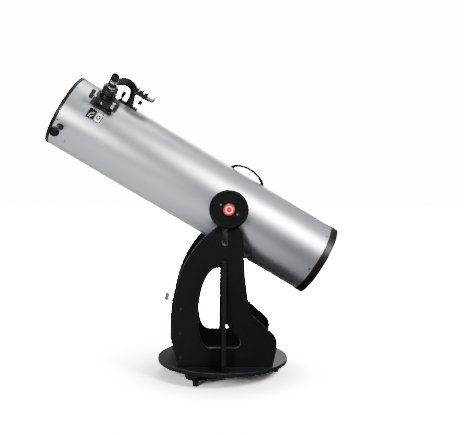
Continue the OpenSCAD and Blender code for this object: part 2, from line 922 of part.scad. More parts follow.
module drawtube_thumbscrew() {
  color("silver") in_focuser() translate([0, 0, flange_low + 12]) sideways(drawtube_screw_angle) {
    translate([0, 0, 27.6]) cylinder(r = 2, h = flange_r - 22, $fn = 32);
    translate([0, 0, flange_r + 0.8]) fluted_knob(5, 9, 10, 1.2);
  }
}

module eyepiece_adapter() {
  color("#303134") in_focuser() difference() {
    rotate_extrude() polygon([[14, flange_top - 24], [25.3, flange_top - 24], [25.3, flange_top + seat],
      [29, flange_top + seat], [29, flange_top + 3], [adapter_r + 1, flange_top + 5],
      [adapter_r + 1, adapter_top - 8], [adapter_r, adapter_top - 7], [adapter_r, adapter_top],
      [14, adapter_top]]);
    translate([0, 0, flange_top - 30]) cylinder(r = barrel_r + running, h = 60);
    translate([0, 0, adapter_top - 8]) sideways(adapter_screw_angle) {
      translate([0, 0, 10]) cylinder(r = 2 + running, h = 20, $fn = 32);
    }
  }
}

module adapter_thumbscrew() {
  color("silver") in_focuser() translate([0, 0, adapter_top - 8]) sideways(adapter_screw_angle) {
    translate([0, 0, 18.9]) cylinder(r = 2, h = adapter_r - 15.5, $fn = 32);
    translate([0, 0, adapter_r + 2]) fluted_knob(4.5, 8, 10, 1.1);
  }
}

module eyepiece() {
  color("#1b1c1e") in_focuser() difference() {
    rotate_extrude() polygon([[0, adapter_top - 26], [barrel_r, adapter_top - 26],
      [barrel_r, adapter_top + seat],
      [20, adapter_top + seat], [20.5, adapter_top + 4], [20.5, eyepiece_top - 26], [19.5, eyepiece_top - 24],
      [19.5, eyepiece_top - 12], [17.5, eyepiece_top - 4], [17.5, eyepiece_top], [0, eyepiece_top]]);
    translate([0, 0, adapter_top - 27]) cylinder(r = 13.6, h = 16);
    translate([0, 0, eyepiece_top - 3]) cylinder(r = 12, h = 4);
  }
}

module eyecup() {
  low = eyepiece_top - 4;
  color("#151617") in_focuser() rotate_extrude() polygon([[17.6, low], [18.8, low], [18.8, eyecup_top - 3],
    [17.8, eyecup_top], [14.5, eyecup_top], [13.2, eyepiece_top + 2], [13.2, eyepiece_top + seat],
    [17.6, eyepiece_top + seat]]);
}

// ---- Phone dock ----

// Places its children in the dock's frame: z out of the tube, x along it
module in_dock() {
  in_tube() radial(dock_angle) children();
}

module dock_screw_places() {
  for (x = [dock_x + 8, dock_x + dock_len - 30]) {
    radial(dock_angle) translate([x, 14, 0]) children();
  }
}

module dock_base() {
  color("#1d1e20") in_tube() difference() {
    radial(dock_angle) translate([dock_x + dock_len / 2, 0, 170]) {
      rounded_plate(dock_len, 44, dock_top - 170, 5);
    }
    along(tube_r + seat, dock_x - 5, dock_x + dock_len + 5);
    dock_screw_places() translate([0, 0, 160]) cylinder(r = 2.1, h = 23, $fn = 24);
    radial(dock_angle) translate([lever_x, -30, lever_z]) rotate([-90, 0, 0]) {
      cylinder(r = 2 + running, h = 60, $fn = 32);
    }
    radial(dock_angle) translate([lever_x - 9, -4.4, lever_z - 6]) cube([18.5, 8.8, 12]);
  }
}

module dock_arm() {
  leg_half = 13;
  arch_out = arch_r + arch_w / 2;
  arch_in = arch_r - arch_w / 2;
  color("#222326") in_dock() {
    translate([0, leg_half, 0]) rotate([90, 0, 0]) linear_extrude(2 * leg_half) {
      polygon(concat([[637, dock_top], [676, dock_top]],
        curve([676, dock_top], [672, 205], [676, 228], [682, 240], 6), [[660, 266], [652, tray_z - face_gap]],
        curve([652, tray_z - face_gap], [652, 220], [640, 204], [637, dock_top], 6)));
      intersection() {
        translate(arch_c) difference() {
          circle(r = arch_out);
          circle(r = arch_in);
        }
        translate(arch_c) polygon([[0, 0], [90, 66], [90, 120], [-120, 120], [-95, 38]]);
      }
    }
    translate([0, 20, 0]) rotate([90, 0, 0]) linear_extrude(40) {
      translate(arch_c + [arch_r * cos(36), arch_r * sin(36)]) circle(r = 15, $fn = 48);
    }
    translate([tray_x + 20, -9, tray_z - face_gap - 8]) cube([84, 18, 8]);
  }
}

module dock_lever() {
  color("#1a1b1d") in_dock() translate([lever_x, 0, lever_z]) {
    rotate([-90, 0, 0]) translate([0, 0, -20]) cylinder(r = 2, h = 40, $fn = 32);
    translate([0, 4, 0]) rotate([90, 0, 0]) linear_extrude(8) {
      circle(r = 3.2, $fn = 32);
      polygon([[-3.2, 0], [3.2, 0], [4.5, 9], [10, 16], [11, 40], [8, 46], [-5, 46], [-8, 42], [-8, 16],
        [-4.5, 9]]);
    }
  }
}

module phone_tray() {
  mid = tray_x + tray_len / 2;
  color("#26272a") in_dock() {
    difference() {
      translate([mid, 0, tray_z]) rounded_plate(tray_len, tray_w, tray_t, 8);
      translate([mid, 0, tray_z + tray_t - 2]) rounded_plate(tray_len - 14, tray_w - 22, 4, 5);
      translate([tray_knob_x, tray_knob_y, tray_z - 1]) cylinder(r = 3.5 + running, h = 20, $fn = 32);
      translate([tray_cut_x, -20, tray_z - 1]) cube([60, 40, 20]);
    }
    for (x = finger_x) {
      translate([x, -tray_w / 2 + 5, tray_z + tray_t]) cylinder(r = 4.5, h = 20, $fn = 32);
    }
    translate([tray_x, -30, tray_z + tray_t - 1]) cube([4, 60, 20]);
  }
}

module phone_clamp() {
  clamp_z = tray_z + tray_t + 0.3;
  color("#1c1d1f") in_dock() {
    translate([finger_x[0] - 5, tray_w / 2 - 9, clamp_z]) cube([60, 9, 8]);
    for (x = finger_x) {
      translate([x, tray_w / 2 - 4.5, clamp_z]) cylinder(r = 9, h = 19, $fn = 48);
    }
  }
}

module tray_knob() {
  color("silver") in_dock() translate([tray_knob_x, tray_knob_y, 0]) {
    translate([0, 0, tray_z - 22]) cylinder(r = 3.5, h = 22 + tray_t - 3, $fn = 32);
    translate([0, 0, tray_z - 38]) fluted_knob(11, 18, 14, 2);
  }
}

module label_plate() {
  color("#e6e6e6") in_tube() difference() {
    intersection() {
      along(tube_r + 0.5, label_x, label_x + label_w);
      radial(label_angle) translate([label_x, -label_h / 2, 100]) cube([label_w, label_h, 100]);
    }
    along(tube_r + running, label_x - 1, label_x + label_w + 1);
  }
}

ground_board();
feet();
foot_screws();
azimuth_pads();
azimuth_bolt();
azimuth_nut();
top_board();
azimuth_bush();
side_panel_near();
side_panel_far();
panel_ribs();
front_board();
board_screws();
eyepiece_rack();
cradle_liners();
tube();
front_ring();
rear_ring();
ring_screws();
altitude_bearing_near();
altitude_bearing_far();
bearing_caps();
bearing_screws();
tube_handle();
handle_screws();
guide_knob();
mirror_cell();
mirror_plate();
primary_mirror();
mirror_clips();
collimation_springs();
collimation_knob_1();
collimation_knob_2();
collimation_knob_3();
lock_bolts();
spider();
spider_nuts();
secondary_holder();
secondary_mirror();
secondary_screws();
focuser_base();
focuser_body();
focuser_screws();
focus_shaft();
coarse_knobs();
fine_knob();
focus_lock_screw();
drawtube();
drawtube_thumbscrew();
eyepiece_adapter();
adapter_thumbscrew();
eyepiece();
eyecup();
dock_base();
dock_arm();
dock_lever();
phone_tray();
phone_clamp();
tray_knob();
label_plate();
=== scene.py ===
"""Looks for the dobsonian telescope: camera, studio, materials and the fine pieces round the CAD frame.

Places are worked out from the frame in metres. Profiles and print are given in millimetres.
"""

import json
import math

import bmesh
import bpy
from mathutils import Matrix, Vector


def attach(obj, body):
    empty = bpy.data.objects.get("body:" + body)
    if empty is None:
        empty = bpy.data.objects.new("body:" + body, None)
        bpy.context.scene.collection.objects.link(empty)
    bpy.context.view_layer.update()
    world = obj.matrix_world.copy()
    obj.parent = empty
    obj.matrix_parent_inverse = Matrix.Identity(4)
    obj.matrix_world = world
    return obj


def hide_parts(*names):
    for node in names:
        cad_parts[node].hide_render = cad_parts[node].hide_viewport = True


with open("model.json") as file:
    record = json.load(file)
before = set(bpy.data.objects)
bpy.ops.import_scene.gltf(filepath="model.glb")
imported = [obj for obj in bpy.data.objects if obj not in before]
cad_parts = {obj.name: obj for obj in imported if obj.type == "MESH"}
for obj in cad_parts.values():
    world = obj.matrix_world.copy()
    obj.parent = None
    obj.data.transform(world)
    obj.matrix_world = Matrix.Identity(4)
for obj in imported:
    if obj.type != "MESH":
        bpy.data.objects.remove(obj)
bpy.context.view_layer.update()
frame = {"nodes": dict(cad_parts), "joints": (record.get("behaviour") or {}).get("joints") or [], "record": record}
NODES = frame["nodes"]
JOINTS = {j["name"]: j for j in frame["joints"]}
SLOT_OF = {s["node"]: s["material_slot"] for s in frame["record"]["subparts"]}

MM = 0.001


# ---------------------------------------------------------------- frames

def turn(angle_deg, axis):
    return Matrix.Rotation(math.radians(angle_deg), 4, axis)


def shift(x=0.0, y=0.0, z=0.0):
    return Matrix.Translation((x, y, z))


def tube_frame():
    """x to the mouth, y to the near side, z up out of the tube, on the altitude axis."""
    altitude = JOINTS["altitude"]
    tilt = -altitude["range_deg"][0]
    return Matrix.Translation(altitude["pos_m"]) @ turn(tilt, "Y") @ turn(180, "Z")


TUBE = tube_frame()


def angle_of(joint):
    """The angle round the tube, up from the near side, that a joint's axis points to."""
    axis = TUBE.to_3x3().inverted() @ Vector(JOINTS[joint]["axis"])
    return math.degrees(math.atan2(axis.z, axis.y))


def radial(angle_deg):
    """The tube's frame turned so that z points out of the tube at that angle."""
    return TUBE @ turn(angle_deg - 90, "X")


def extents(node, matrix):
    """Lowest and highest corner of a CAD node in another frame."""
    inverse = matrix.inverted()
    points = [inverse @ v.co for v in NODES[node].data.vertices]
    low = Vector([min(p[i] for p in points) for i in range(3)])
    high = Vector([max(p[i] for p in points) for i in range(3)])
    return low, high


def middle(node, matrix):
    low, high = extents(node, matrix)
    return (low + high) / 2


def widest_reach(node):
    """Distance of a node's outermost point from the tube's axis."""
    inverse = TUBE.inverted()
    points = [inverse @ v.co for v in NODES[node].data.vertices]
    return max(math.hypot(p.y, p.z) for p in points)


FOCUSER_ANGLE = angle_of("focus")
FOCUSER = radial(FOCUSER_ANGLE)
FOCUSER = FOCUSER @ shift(x=middle("drawtube", FOCUSER).x)

LABEL = middle("label_plate", TUBE)
LABEL_RADIUS = widest_reach("label_plate")
LABEL_ANGLE = math.degrees(math.atan2(LABEL.z, LABEL.y))


# ---------------------------------------------------------------- camera, light and floor

CAMERA_PLACE = (-0.113, -3.600, 1.063)
CAMERA_YAW_PITCH_ROLL = (-2.41, 4.59, 0.64)
SENSOR_WIDTH = 36.0
FOCAL_LENGTH = 57.05


def make_camera():
    """The main view: turned by yaw, tipped down by pitch, then rolled."""
    yaw, pitch, roll = (math.radians(a) for a in CAMERA_YAW_PITCH_ROLL)
    ahead = Vector((-math.sin(yaw) * math.cos(pitch), math.cos(yaw) * math.cos(pitch), -math.sin(pitch)))
    right = Vector((math.cos(yaw), math.sin(yaw), 0.0))
    up = right.cross(ahead)
    right, up = (right * math.cos(roll) + up * math.sin(roll), up * math.cos(roll) - right * math.sin(roll))
    rotation = Matrix((right, up, -ahead)).transposed().to_4x4()
    data = bpy.data.cameras.new("camera")
    data.sensor_width = SENSOR_WIDTH
    data.lens = FOCAL_LENGTH
    camera = bpy.data.objects.new("camera", data)
    camera.matrix_world = Matrix.Translation(CAMERA_PLACE) @ rotation
    bpy.context.scene.collection.objects.link(camera)
    bpy.context.scene.camera = camera


def area_light(name, place, target, width, height, radiance):
    """A softbox of a given brightness: its power follows from its size."""
    data = bpy.data.lights.new(name, "AREA")
    data.shape = "RECTANGLE"
    data.size = width
    data.size_y = height
    data.energy = radiance * math.pi * width * height
    lamp = bpy.data.objects.new(name, data)
    away = Vector(place) - Vector(target)
    lamp.matrix_world = Matrix.Translation(place) @ away.to_track_quat("Z", "Y").to_matrix().to_4x4()
    bpy.context.scene.collection.objects.link(lamp)


def make_lights():
    """The two front softboxes make the tube's bright bands. Each has place, target, size and radiance."""
    area_light("rear_band_softbox", (1.95, -2.3, 2.7), (0.3, 0.0, 0.75), 1.2, 1.2, 60.0)
    area_light("front_band_softbox", (-1.85, -3.5, 1.55), (-0.6, 0.0, 1.1), 0.5, 1.2, 60.0)
    area_light("far_side_softbox", (0.6, 3.4, 2.2), (0.0, 0.0, 0.8), 1.6, 1.6, 5.0)
    area_light("overhead_softbox", (-0.3, 0.5, 4.2), (0.0, 0.0, 0.6), 2.6, 2.2, 4.0)


# Strength of the background to the camera, and of the dome to the object: at the horizon, and added overhead
SKY_SEEN = 14.0
DOME_LOW, DOME_RISE = 0.16, 0.42
DOME_HEIGHTS = (-0.1, 0.8)
# The dome darkens by this share where directions turn toward the camera
FRONT_DARKENING = -0.9
FRONT_DIRECTIONS = (0.45, 0.9)


def make_world():
    """White to the camera; to the object a soft dome that is dark in front, as behind a camera."""
    world = bpy.data.worlds.new("studio")
    bpy.context.scene.world = world
    world.use_nodes = True
    tree = world.node_tree
    tree.nodes.clear()

    def node(kind, **settings):
        made = tree.nodes.new(kind)
        for key, value in settings.items():
            setattr(made, key, value)
        return made

    def ramp_between(source, low, high):
        made = node("ShaderNodeMapRange", interpolation_type="SMOOTHSTEP")
        made.inputs["From Min"].default_value = low
        made.inputs["From Max"].default_value = high
        tree.links.new(source, made.inputs["Value"])
        return made.outputs["Result"]

    def combine(operation, a, b, c=None):
        made = node("ShaderNodeMath", operation=operation)
        for socket, value in zip(made.inputs, (a, b, c)):
            if isinstance(value, (int, float)):
                socket.default_value = value
            elif value is not None:
                tree.links.new(value, socket)
        return made.outputs[0]

    direction = node("ShaderNodeSeparateXYZ")
    tree.links.new(node("ShaderNodeTexCoord").outputs["Generated"], direction.inputs[0])
    toward_camera = combine("MULTIPLY", direction.outputs["Y"], -1.0)
    dark_front = combine("MULTIPLY_ADD", ramp_between(toward_camera, *FRONT_DIRECTIONS), FRONT_DARKENING, 1.0)
    dome = combine("MULTIPLY_ADD", ramp_between(direction.outputs["Z"], *DOME_HEIGHTS), DOME_RISE, DOME_LOW)
    light = node("ShaderNodeBackground")
    tree.links.new(combine("MULTIPLY", dome, dark_front), light.inputs["Strength"])
    light.inputs["Color"].default_value = (0.96, 0.98, 1.0, 1.0)
    seen = node("ShaderNodeBackground")
    seen.inputs["Color"].default_value = (1.0, 1.0, 1.0, 1.0)
    seen.inputs["Strength"].default_value = SKY_SEEN
    mix = node("ShaderNodeMixShader")
    tree.links.new(node("ShaderNodeLightPath").outputs["Is Camera Ray"], mix.inputs["Fac"])
    tree.links.new(light.outputs[0], mix.inputs[1])
    tree.links.new(seen.outputs[0], mix.inputs[2])
    tree.links.new(mix.outputs[0], node("ShaderNodeOutputWorld").inputs["Surface"])


FLOOR_RADIUS = 14.0
# Floor brightness, each as (value, value, from, to) over metres on the floor
SEEN_BY_DISTANCE = (4.6, 70.0, 0.35, 3.2)
# A painted shadow: the floor darker to the camera close round the base
PAINTED_SHADOW_BY_DISTANCE = (0.6, 1.0, 0.3, 0.46)
BOUNCE_BY_X = (0.62, 0.04, -0.9, 0.4)
BOUNCE_BY_Y = (0.3, 1.0, -3.0, -1.0)


def make_floor():
    """A plain pale floor, exposed to white for the camera; its rendered contact shadow is deepened by a painted
    shadow close round the base.

    Its brightness to the camera grows with the distance from the base. What it throws back onto the tube
    fades toward the mirror end and toward the camera.
    """
    bm = bmesh.new()
    bmesh.ops.create_circle(bm, cap_ends=True, radius=FLOOR_RADIUS, segments=96)
    mesh = bpy.data.meshes.new("floor")
    bm.to_mesh(mesh)
    bm.free()
    floor = bpy.data.objects.new("floor", mesh)
    bpy.context.scene.collection.objects.link(floor)
    shade = Shade("floor_paint")
    across = shade.node("ShaderNodeSeparateXYZ")
    shade.link(shade.coords, across.inputs[0])
    distance = shade.vector("LENGTH", shade.coords)
    # Painted shadow: the brightness to the camera is lowered close round the base
    seen = shade.times(shade.span(distance, *SEEN_BY_DISTANCE), shade.span(distance, *PAINTED_SHADOW_BY_DISTANCE))
    bounced = shade.times(shade.span(across.outputs["X"], *BOUNCE_BY_X),
                          shade.span(across.outputs["Y"], *BOUNCE_BY_Y))
    brightness = shade.node("ShaderNodeMix", data_type="FLOAT")
    shade.link(shade.node("ShaderNodeLightPath").outputs["Is Camera Ray"], brightness.inputs["Factor"])
    shade.link(bounced, brightness.inputs["A"])
    shade.link(seen, brightness.inputs["B"])
    paint = shade.node("ShaderNodeBsdfDiffuse")
    shade.link(brightness.outputs["Result"], paint.inputs["Color"])
    output = shade.tree.nodes["Material Output"]
    shade.link(paint.outputs[0], output.inputs["Surface"])
    mesh.materials.append(shade.mat)


# ---------------------------------------------------------------- materials

class Shade:
    """A small helper that builds one node material from named steps."""

    def __init__(self, name):
        self.mat = bpy.data.materials.new(name)
        self.mat.use_nodes = True
        self.tree = self.mat.node_tree
        self.bsdf = self.tree.nodes["Principled BSDF"]
        self.coords = self.tree.nodes.new("ShaderNodeTexCoord").outputs["Object"]

    def node(self, kind, **settings):
        made = self.tree.nodes.new(kind)
        for key, value in settings.items():
            setattr(made, key, value)
        return made

    def link(self, a, b):
        self.tree.links.new(a, b)

    def noise(self, scale, detail=3.0, roughness=0.55):
        made = self.node("ShaderNodeTexNoise")
        made.inputs["Scale"].default_value = scale
        made.inputs["Detail"].default_value = detail
        made.inputs["Roughness"].default_value = roughness
        self.link(self.coords, made.inputs["Vector"])
        return made.outputs["Fac"]

    def ramp(self, source, stops):
        """Colours along a value, each stop as (position, colour)."""
        made = self.node("ShaderNodeValToRGB")
        ramp = made.color_ramp
        while len(ramp.elements) < len(stops):
            ramp.elements.new(0.5)
        for element, (position, colour) in zip(ramp.elements, stops):
            element.position = position
            element.color = (*colour, 1.0)
        self.link(source, made.inputs["Fac"])
        return made.outputs["Color"]

    def span(self, source, low, high, from_low=0.3, from_high=0.7):
        """A value from low to high while the source goes from from_low to from_high."""
        made = self.node("ShaderNodeMapRange")
        made.inputs["From Min"].default_value = from_low
        made.inputs["From Max"].default_value = from_high
        made.inputs["To Min"].default_value = low
        made.inputs["To Max"].default_value = high
        self.link(source, made.inputs["Value"])
        return made.outputs["Result"]

    def edges(self, radius, low=0.02, high=0.25):
        """1 along convex and concave edges, 0 on flat faces."""
        bevel = self.node("ShaderNodeBevel", samples=4)
        bevel.inputs["Radius"].default_value = radius
        geometry = self.node("ShaderNodeNewGeometry")
        dot = self.node("ShaderNodeVectorMath", operation="DOT_PRODUCT")
        self.link(bevel.outputs["Normal"], dot.inputs[0])
        self.link(geometry.outputs["Normal"], dot.inputs[1])
        return self.span(dot.outputs["Value"], 1.0, 0.0, 1.0 - high, 1.0 - low)

    def painted_lit_edges(self, radius, toward):
        """1 along the edges that face the light: the mask of a painted highlight, the thin bright line such edges
        catch.
        """
        bevel = self.node("ShaderNodeBevel", samples=4)
        bevel.inputs["Radius"].default_value = radius
        facing = self.node("ShaderNodeVectorMath", operation="DOT_PRODUCT")
        self.link(bevel.outputs["Normal"], facing.inputs[0])
        facing.inputs[1].default_value = Vector(toward).normalized()
        return self.times(self.edges(radius), self.span(facing.outputs["Value"], 0.0, 1.0, 0.55, 0.9))

    def mix(self, factor, a, b):
        """From colour a to colour b by a factor."""
        made = self.node("ShaderNodeMix", data_type="RGBA")
        for name, value in (("Factor", factor), ("A", a), ("B", b)):
            socket = made.inputs[name]
            if isinstance(value, tuple):
                socket.default_value = (*value, 1.0)
            else:
                self.link(value, socket)
        return made.outputs["Result"]

    def times(self, a, b):
        made = self.node("ShaderNodeMath", operation="MULTIPLY")
        self.link(a, made.inputs[0])
        self.link(b, made.inputs[1])
        return made.outputs[0]

    def vector(self, operation, a, b=None):
        made = self.node("ShaderNodeVectorMath", operation=operation)
        for socket, value in zip(made.inputs, (a, b)):
            if isinstance(value, Vector):
                socket.default_value = value
            elif value is not None:
                self.link(value, socket)
        return made.outputs["Value" if operation in ("DOT_PRODUCT", "LENGTH") else "Vector"]

    def round_normal(self, centre, axis):
        """The true normal of a round tube, free of the facets of its mesh."""
        offset = self.vector("SUBTRACT", self.coords, centre)
        along = self.node("ShaderNodeVectorMath", operation="SCALE")
        along.inputs[0].default_value = axis
        self.link(self.vector("DOT_PRODUCT", offset, axis), along.inputs["Scale"])
        outward = self.vector("NORMALIZE", self.vector("SUBTRACT", offset, along.outputs["Vector"]))
        turned = self.node("ShaderNodeVectorTransform", vector_type="NORMAL", convert_from="OBJECT",
                           convert_to="WORLD")
        self.link(outward, turned.inputs[0])
        return turned.outputs[0]

    def bump(self, source, strength, distance=0.001, normal=None):
        made = self.node("ShaderNodeBump")
        if normal is not None:
            self.link(normal, made.inputs["Normal"])
        made.inputs["Strength"].default_value = strength
        made.inputs["Distance"].default_value = distance
        self.link(source, made.inputs["Height"])
        self.link(made.outputs["Normal"], self.bsdf.inputs["Normal"])

    def put(self, **values):
        """Sets or links the surface's inputs and returns the finished material."""
        for key, value in values.items():
            socket = self.bsdf.inputs[key.replace("_", " ")]
            if isinstance(value, (int, float)):
                socket.default_value = value
            else:
                self.link(value, socket)
        return self.mat


def silver_paint():
    s = Shade("tube_silver")
    cloud = s.noise(2.2, 4.0)
    flake = s.noise(900.0, 1.0)
    colour = s.ramp(cloud, [(0.35, (0.50, 0.533, 0.58)), (0.65, (0.545, 0.58, 0.628))])
    colour = s.mix(s.span(flake, 0.0, 0.35), colour, (0.63, 0.668, 0.72))
    s.bump(flake, 0.03, 0.0004, s.round_normal(TUBE.translation, TUBE.to_3x3() @ Vector((1.0, 0.0, 0.0))))
    return s.put(Base_Color=colour, Metallic=0.93, Roughness=s.span(cloud, 0.31, 0.35),
                 Coat_Weight=0.15, Coat_Roughness=0.2)


def tube_inside():
    s = Shade("tube_inside_black")
    grain = s.noise(700.0, 2.0)
    s.bump(grain, 0.2, 0.0005)
    colour = s.ramp(s.noise(5.0), [(0.3, (0.009, 0.009, 0.0095)), (0.7, (0.016, 0.016, 0.017))])
    return s.put(Base_Color=colour, Roughness=s.span(grain, 0.75, 0.92))


# The direction toward the light; the boards' edges that face it get a painted highlight
TOWARD_LIGHT = (-0.45, -0.65, 0.6)


def laminate(name, dark, light, rough, highlight_level=0.2, grain_scale=420.0, bump=0.18):
    s = Shade(name)
    cloud = s.noise(6.0, 5.0)
    grain = s.noise(grain_scale, 3.0, 0.6)
    colour = s.ramp(cloud, [(0.3, dark), (0.7, light)])
    # Lighter edges: partly wear, partly a painted highlight along the boards' edges
    wear_and_highlight = s.times(s.edges(0.0015), s.span(s.noise(30.0), 0.1, 0.8))
    colour = s.mix(wear_and_highlight, colour, tuple(min(1.0, c * 2.0 + 0.004) for c in light))
    # Painted highlight: a pale line along the board edges that face the light
    highlight_colour = (highlight_level, highlight_level, highlight_level * 1.02)
    colour = s.mix(s.painted_lit_edges(0.003, TOWARD_LIGHT), colour, highlight_colour)
    s.bump(grain, bump, 0.0005)
    return s.put(Base_Color=colour, Roughness=s.span(grain, rough - 0.06, rough + 0.08),
                 Specular_IOR_Level=0.12)


def moulded(name, dark, light, rough, gloss=0.14, grain_scale=1100.0, bump=0.15, edge=0.0010):
    s = Shade(name)
    cloud = s.noise(14.0, 4.0)
    grain = s.noise(grain_scale, 2.0)
    colour = s.ramp(cloud, [(0.3, dark), (0.7, light)])
    # Lighter edges: partly wear, partly a painted highlight, such as the bright rim of the bearing discs
    wear_and_highlight = s.times(s.edges(edge), s.span(s.noise(60.0), 0.0, 0.7))
    colour = s.mix(wear_and_highlight, colour, tuple(min(1.0, c * 3.2 + 0.012) for c in light))
    s.bump(grain, bump, 0.0004)
    return s.put(Base_Color=colour, Roughness=s.span(grain, rough - 0.07, rough + 0.07),
                 Specular_IOR_Level=gloss)


def metal(name, dark, light, rough, metallic=1.0, grain_scale=500.0, bump=0.05, edge=0.0008):
    s = Shade(name)
    cloud = s.noise(18.0, 4.0)
    grain = s.noise(grain_scale, 2.0)
    colour = s.ramp(cloud, [(0.3, dark), (0.7, light)])
    wear_and_highlight = s.times(s.edges(edge), s.span(s.noise(70.0), 0.1, 0.7))
    colour = s.mix(wear_and_highlight, colour, tuple(min(1.0, c * 1.5 + 0.05) for c in light))
    s.bump(grain, bump, 0.0003)
    return s.put(Base_Color=colour, Metallic=metallic, Roughness=s.span(grain, rough - 0.05, rough + 0.08))


def mirror_coat():
    s = Shade("mirror_glass")
    dust = s.noise(260.0, 4.0, 0.7)
    return s.put(Base_Color=s.ramp(dust, [(0.3, (0.84, 0.87, 0.89)), (0.8, (0.9, 0.92, 0.94))]), Metallic=1.0,
                 Roughness=s.span(dust, 0.015, 0.07, 0.45, 0.8))


def orange_gloss():
    s = Shade("cap_orange")
    cloud = s.noise(40.0, 3.0)
    s.bump(s.noise(300.0), 0.03, 0.0003)
    return s.put(Base_Color=s.ramp(cloud, [(0.3, (0.42, 0.014, 0.004)), (0.7, (0.5, 0.02, 0.006))]),
                 Roughness=s.span(cloud, 0.28, 0.36), Coat_Weight=0.15, Coat_Roughness=0.1)


def label_print():
    s = Shade("label")
    cloud = s.noise(60.0)
    colour = s.ramp(cloud, [(0.3, (0.78, 0.785, 0.79)), (0.7, (0.84, 0.845, 0.85))])
    return s.put(Base_Color=colour, Roughness=s.span(cloud, 0.32, 0.42))


def lens_glass():
    s = Shade("lens_glass")
    dust = s.noise(400.0, 3.0)
    return s.put(Base_Color=s.ramp(dust, [(0.3, (0.004, 0.009, 0.012)), (0.7, (0.006, 0.012, 0.018))]),
                 Roughness=s.span(dust, 0.02, 0.06), Coat_Weight=1.0, Coat_Roughness=0.03)


def make_materials():
    """Every finish by name: the record's slots, and a few that only some pieces or faces use."""
    return {
        "tube_silver": silver_paint(),
        "inside": tube_inside(),
        "lens": lens_glass(),
        "print_black": moulded("print_black", (0.003, 0.003, 0.0035), (0.005, 0.005, 0.0055), 0.4),
        "black_steel": metal("black_steel", (0.008, 0.008, 0.009), (0.014, 0.014, 0.015), 0.34, 0.6),
        "board_black": laminate("board_black", (0.0022, 0.0023, 0.0025), (0.0032, 0.0033, 0.0036), 0.42),
        # The ribs: the board laminate made darker, with almost no edge highlight, as painted shade
        "rib_painted_shade": laminate("rib_painted_shade", (0.0014, 0.0015, 0.0016), (0.002, 0.0021, 0.0023), 0.5, 0.012),
        "board_top": laminate("board_top", (0.0042, 0.0049, 0.0060), (0.0066, 0.0076, 0.0092), 0.34),
        "moulded_black": moulded("moulded_black", (0.0020, 0.0021, 0.0024), (0.0034, 0.0036, 0.0040), 0.38),
        "ring_black": moulded("ring_black", (0.0024, 0.0025, 0.0028), (0.0040, 0.0041, 0.0045), 0.42,
                              gloss=0.2, grain_scale=600.0, bump=0.25),
        "anodised_black": metal("anodised_black", (0.006, 0.0063, 0.0072), (0.011, 0.0115, 0.013), 0.3, 0.5),
        "bright_metal": metal("bright_metal", (0.66, 0.665, 0.68), (0.78, 0.785, 0.8), 0.16),
        "zinc": metal("zinc", (0.42, 0.425, 0.44), (0.56, 0.565, 0.575), 0.28),
        "rack_grey": metal("rack_grey", (0.13, 0.133, 0.14), (0.17, 0.173, 0.18), 0.42, 0.3),
        "cap_orange": orange_gloss(),
        "rubber_black": moulded("rubber_black", (0.0032, 0.0032, 0.0034), (0.0052, 0.0052, 0.0055), 0.62,
                                gloss=0.2, grain_scale=900.0, bump=0.3),
        "mirror_glass": mirror_coat(),
        "nylon_white": moulded("nylon_white", (0.62, 0.62, 0.59), (0.7, 0.7, 0.67), 0.45, 0.5),
        "label": label_print(),
    }


# Nodes that take a darker copy of their slot's finish, as painted shade
PAINTED_SHADE_FINISH = {"panel_ribs": "rib_painted_shade"}
SMOOTH_BELOW = math.radians(32)


def dress_nodes(mats):
    """Each CAD node takes its finish, smooth where its faces meet at a small angle."""
    for name, obj in NODES.items():
        obj.data.materials.clear()
        obj.data.materials.append(mats[PAINTED_SHADE_FINISH.get(name, SLOT_OF[name])])
        obj.data.shade_smooth()
        obj.data.set_sharp_from_angle(angle=SMOOTH_BELOW)
    darken_tube_inside(mats["inside"])


def darken_tube_inside(inside):
    """The tube's inner faces look at its own axis: they get the flat black lining."""
    tube = NODES["tube"].data
    tube.materials.append(inside)
    inside_slot = len(tube.materials) - 1
    inverse = TUBE.inverted()
    turned = inverse.to_3x3()
    for face in tube.polygons:
        centre = inverse @ face.center
        outward = Vector((0.0, centre.y, centre.z))
        if (turned @ face.normal).dot(outward) < 0.0:
            face.material_index = inside_slot


# ---------------------------------------------------------------- fine pieces

def solid(name, vertices, faces, body, slot, material=None):
    """One mesh piece from world points; it rides on a body and takes its slot's finish."""
    mesh = bpy.data.meshes.new(name)
    mesh.from_pydata([tuple(v) for v in vertices], [], faces)
    bm = bmesh.new()
    bm.from_mesh(mesh)
    bmesh.ops.recalc_face_normals(bm, faces=bm.faces)
    bm.to_mesh(mesh)
    bm.free()
    mesh.materials.append(MATS[material or slot])
    mesh.shade_smooth()
    mesh.set_sharp_from_angle(angle=SMOOTH_BELOW)
    piece = bpy.data.objects.new(name, mesh)
    bpy.context.scene.collection.objects.link(piece)
    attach(piece, body)
    return piece


def loops(rings, close):
    """Quads between closed rings of points; close joins the last ring to the first."""
    count = len(rings[0])
    pairs = list(zip(range(len(rings)), range(1, len(rings)))) + ([(len(rings) - 1, 0)] if close else [])
    return [(a * count + i, a * count + (i + 1) % count, b * count + (i + 1) % count, b * count + i)
            for a, b in pairs for i in range(count)]


def lathe(name, matrix, profile, body, slot, material=None, segments=64, flutes=0, depth=0.0):
    """A closed profile of (radius, height) turned about z, with flutes cut into its widest part if asked."""
    widest = max(r for r, _ in profile)
    rings = []
    for i in range(segments):
        angle = 2 * math.pi * i / segments
        cut = depth * (0.5 - 0.5 * math.cos(flutes * angle)) if flutes else 0.0
        ring = []
        for r, z in profile:
            reach = (r - (cut if r == widest else 0.0)) * MM
            ring.append(matrix @ Vector((reach * math.cos(angle), reach * math.sin(angle), z * MM)))
        rings.append(ring)
    vertices = [v for ring in rings for v in ring]
    return solid(name, vertices, loops(rings, True), body, slot, material)


